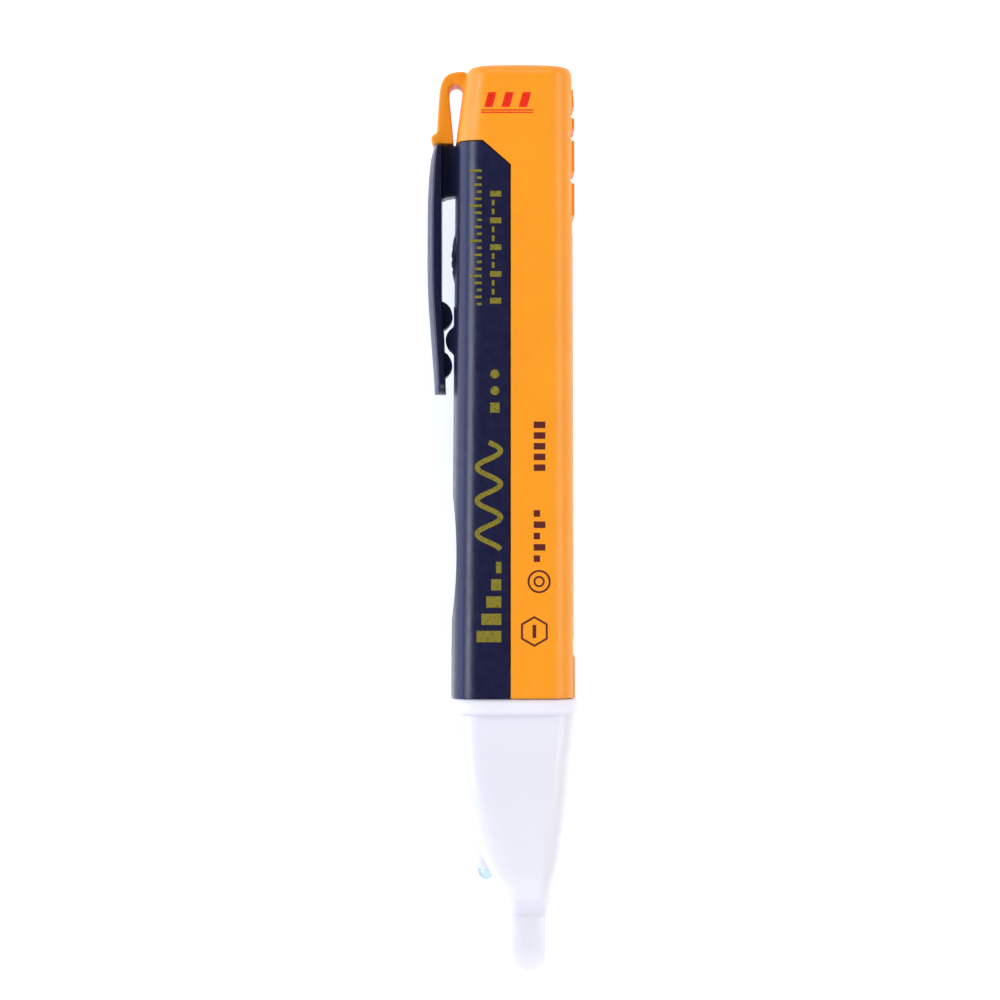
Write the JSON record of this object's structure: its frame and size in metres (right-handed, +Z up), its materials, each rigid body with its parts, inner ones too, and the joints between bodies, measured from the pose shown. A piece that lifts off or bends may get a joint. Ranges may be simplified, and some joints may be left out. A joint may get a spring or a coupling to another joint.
{
  "type": "non contact voltage tester",
  "caption": "Pen-shaped voltage tester: dark front shell with pocket clip and dome button, slide-off battery cover with ribbed grip, translucent nose with torch lamp and flat sensing tip.",
  "frame": {"origin": "centre of the bounding box's bottom: on the table under the middle of the tester, which lies on its side", "axes": "+X along the tester from the cap to the sensing tip, -Y toward the pocket clip and button, +Y toward the ribbed back, +Z up from the table across the tester's width"},
  "size_m": [0.1538, 0.026, 0.023],
  "materials": {
    "front_shell": "satin",
    "clip_shoulder": "satin",
    "pocket_clip": "satin",
    "battery_cover": "fine texture",
    "latch_loop": "fine texture",
    "latch_arm": "fine texture",
    "rear_label": "satin",
    "nose_housing": "translucent satin",
    "power_button": "satin",
    "battery_tray": "satin",
    "rear_cell": "printed sleeve over steel",
    "front_cell": "printed sleeve over steel",
    "spring_plate": "nickel plated",
    "front_contact": "nickel plated",
    "battery_spring": "nickel plated",
    "circuit_board": "solder mask",
    "logic_chip": "moulded",
    "transistors": "moulded",
    "chip_resistors": "fired",
    "chip_capacitors": "fired",
    "switch_body": "moulded",
    "switch_plunger": "moulded",
    "sounder_plate": "rolled",
    "sounder_ceramic": "silvered",
    "sounder_wires": "insulated",
    "torch_led": "clear",
    "warning_leds": "clear red",
    "torch_led_leads": "tinned",
    "warning_led_leads": "tinned",
    "sensing_plate": "rolled",
    "assembly_screws": "zinc plated"
  },
  "bodies": {
    "body": {"front_shell": "front_shell", "clip_shoulder": "clip_shoulder", "nose_housing": "nose_housing", "battery_tray": "battery_tray", "rear_cell": "rear_cell", "front_cell": "front_cell", "spring_plate": "spring_plate", "front_contact": "front_contact", "battery_spring": "battery_spring", "circuit_board": "circuit_board", "logic_chip": "logic_chip", "transistors": "transistors", "chip_resistors": "chip_resistors", "chip_capacitors": "chip_capacitors", "switch_body": "switch_body", "sounder_plate": "sounder_plate", "sounder_ceramic": "sounder_ceramic", "sounder_wires": "sounder_wires", "torch_led": "torch_led", "warning_leds": "warning_leds", "torch_led_leads": "torch_led_leads", "warning_led_leads": "warning_led_leads", "sensing_plate": "sensing_plate", "assembly_screws": "assembly_screws"},
    "cover": {"battery_cover": "battery_cover", "latch_loop": "latch_loop", "rear_label": "rear_label"},
    "latch": {"latch_arm": "latch_arm"},
    "clip": {"pocket_clip": "pocket_clip"},
    "button": {"power_button": "power_button"},
    "plunger": {"switch_plunger": "switch_plunger"}
  },
  "joints": [
    {"name": "cover_slide", "type": "slide", "parent": "body", "child": "cover", "axis": [-1, 0, 0], "range_m": [0, 0.112]},
    {"name": "latch_flex", "type": "hinge", "parent": "cover", "child": "latch", "pos_m": [-0.073, -0.01012, 0.0115], "axis": [0, 0, -1], "range_deg": [0, 5], "stiffness_Nm_per_rad": 0.55},
    {"name": "clip_flex", "type": "hinge", "parent": "body", "child": "clip", "pos_m": [-0.05435, -0.01173, 0.0115], "axis": [0, 0, -1], "range_deg": [0, 7], "stiffness_Nm_per_rad": 1.1},
    {"name": "button_press", "type": "slide", "parent": "body", "child": "button", "axis": [0, 1, 0], "range_m": [0, 0.0003], "stiffness_N_per_m": 3000},
    {"name": "plunger_press", "type": "slide", "parent": "body", "child": "plunger", "axis": [0, 1, 0], "range_m": [0, 0.0003]}
  ],
  "couplings": [
    {"joint": "plunger_press", "follows": "button_press", "ratio": 1}
  ]
}
